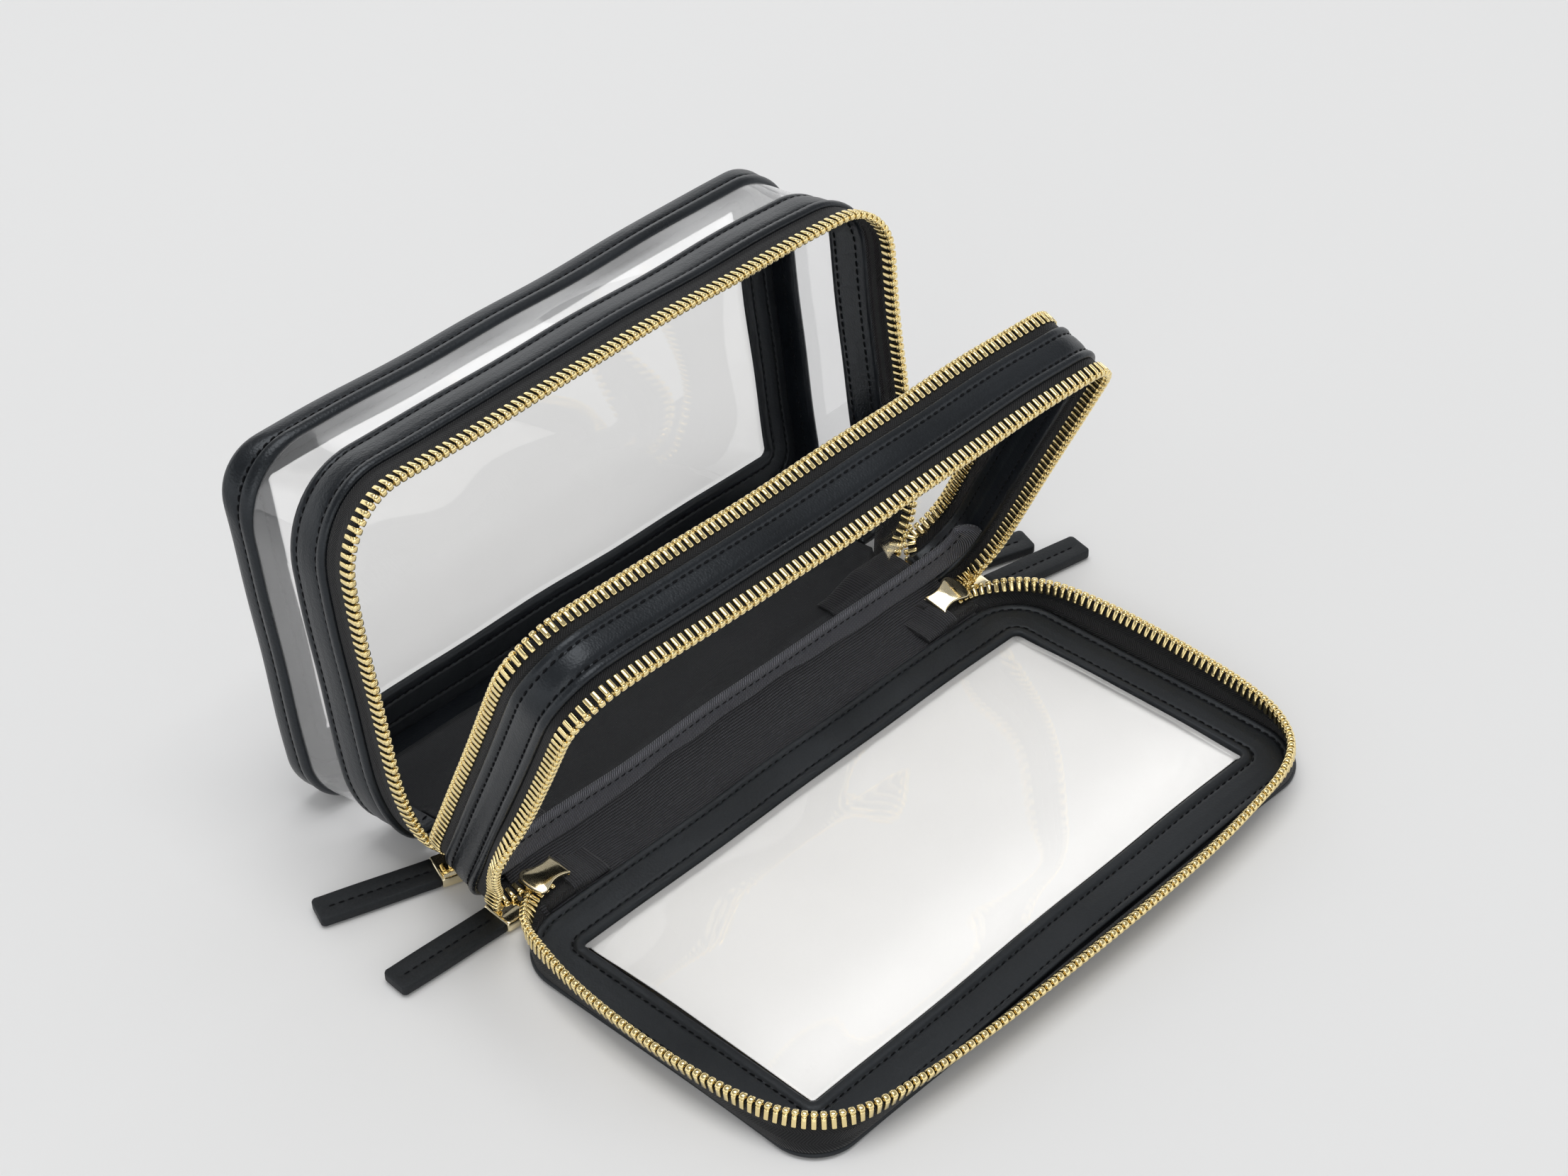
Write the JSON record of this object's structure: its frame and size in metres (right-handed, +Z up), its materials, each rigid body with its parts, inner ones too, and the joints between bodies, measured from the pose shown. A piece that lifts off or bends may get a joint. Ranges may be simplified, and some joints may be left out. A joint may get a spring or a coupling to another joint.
{
  "type": "makeup bag",
  "caption": "Clear makeup bag standing open: leather-edged clear tub, tipped clear divider and flat clear lid, joined by gold zips with leather strap pulls.",
  "frame": {"origin": "centre of the base panel's resting face", "axes": "+Z up, +X along the bag's width towards its right end, -Y from the tub towards the open lid"},
  "size_m": [0.2717, 0.2201, 0.1222],
  "materials": {
    "black_leather": "satin fine grain",
    "clear_sheet": "clear glossy flexible vinyl",
    "black_fabric": "matte ribbed weave",
    "gold_metal": "polished light gold plate"
  },
  "bodies": {
    "tub": {"base_panel": "black_fabric", "base_lining": "black_fabric", "rear_end_patches": "black_fabric", "back_frame": "black_leather", "back_window": "clear_sheet", "back_window_piping": "black_leather", "rear_band": "black_leather", "rear_piping": "black_leather", "gusset": "clear_sheet", "front_band": "black_leather", "front_piping": "black_leather", "tub_tape": "black_fabric", "tub_teeth": "gold_metal"},
    "divider": {"divider_band": "black_leather", "divider_piping": "black_leather", "divider_pane": "clear_sheet", "divider_binding": "black_fabric", "divider_rear_tape": "black_fabric", "divider_rear_teeth": "gold_metal", "divider_front_tape": "black_fabric", "divider_front_teeth": "gold_metal", "spine_strip": "black_fabric", "front_end_patches": "black_fabric"},
    "lid": {"lid_frame": "black_leather", "lid_window": "clear_sheet", "lid_window_piping": "black_leather", "lid_tape": "black_fabric", "lid_teeth": "gold_metal"},
    "slider_rear_left": {"slider_rear_left": "gold_metal"},
    "pull_rear_left": {"pull_ring_rear_left": "gold_metal", "pull_clamp_rear_left": "gold_metal", "pull_strap_rear_left": "black_leather"},
    "slider_rear_right": {"slider_rear_right": "gold_metal"},
    "pull_rear_right": {"pull_ring_rear_right": "gold_metal", "pull_clamp_rear_right": "gold_metal", "pull_strap_rear_right": "black_leather"},
    "slider_front_left": {"slider_front_left": "gold_metal"},
    "pull_front_left": {"pull_ring_front_left": "gold_metal", "pull_clamp_front_left": "gold_metal", "pull_strap_front_left": "black_leather"},
    "slider_front_right": {"slider_front_right": "gold_metal"},
    "pull_front_right": {"pull_ring_front_right": "gold_metal", "pull_clamp_front_right": "gold_metal", "pull_strap_front_right": "black_leather"}
  },
  "joints": [
    {"name": "divider_fold", "type": "hinge", "parent": "tub", "child": "divider", "pos_m": [0, -0.03355, 0.00953], "axis": [-1, 0, 0], "range_deg": [0, 32.74]},
    {"name": "lid_fold", "type": "hinge", "parent": "divider", "child": "lid", "pos_m": [0, -0.0636, -0.00204], "axis": [-1, 0, 0], "range_deg": [0, 64.4]},
    {"name": "slider_rear_left_slide", "type": "slide", "parent": "tub", "child": "slider_rear_left", "axis": [-1, 0, 0], "range_m": [0, 0.004]},
    {"name": "pull_rear_left_swing", "type": "hinge", "parent": "slider_rear_left", "child": "pull_rear_left", "pos_m": [-0.0815, -0.03, 0.002], "axis": [0, 0, 1], "range_deg": [-10, 15]},
    {"name": "slider_rear_right_slide", "type": "slide", "parent": "tub", "child": "slider_rear_right", "axis": [1, 0, 0], "range_m": [0, 0.004]},
    {"name": "pull_rear_right_swing", "type": "hinge", "parent": "slider_rear_right", "child": "pull_rear_right", "pos_m": [0.0785, -0.03, 0.002], "axis": [0, 0, 1], "range_deg": [0, 30]},
    {"name": "slider_front_left_slide", "type": "slide", "parent": "divider", "child": "slider_front_left", "axis": [-1, 0, 0], "range_m": [0, 0.004]},
    {"name": "pull_front_left_swing", "type": "hinge", "parent": "slider_front_left", "child": "pull_front_left", "pos_m": [-0.0815, -0.051, 0.002], "axis": [0, 0, 1], "range_deg": [-10, 3]},
    {"name": "slider_front_right_slide", "type": "slide", "parent": "divider", "child": "slider_front_right", "axis": [-1, 0, 0], "range_m": [0, 0.004]},
    {"name": "pull_front_right_swing", "type": "hinge", "parent": "slider_front_right", "child": "pull_front_right", "pos_m": [0.0855, -0.051, 0.002], "axis": [0, 0, 1], "range_deg": [-5, 2]}
  ]
}
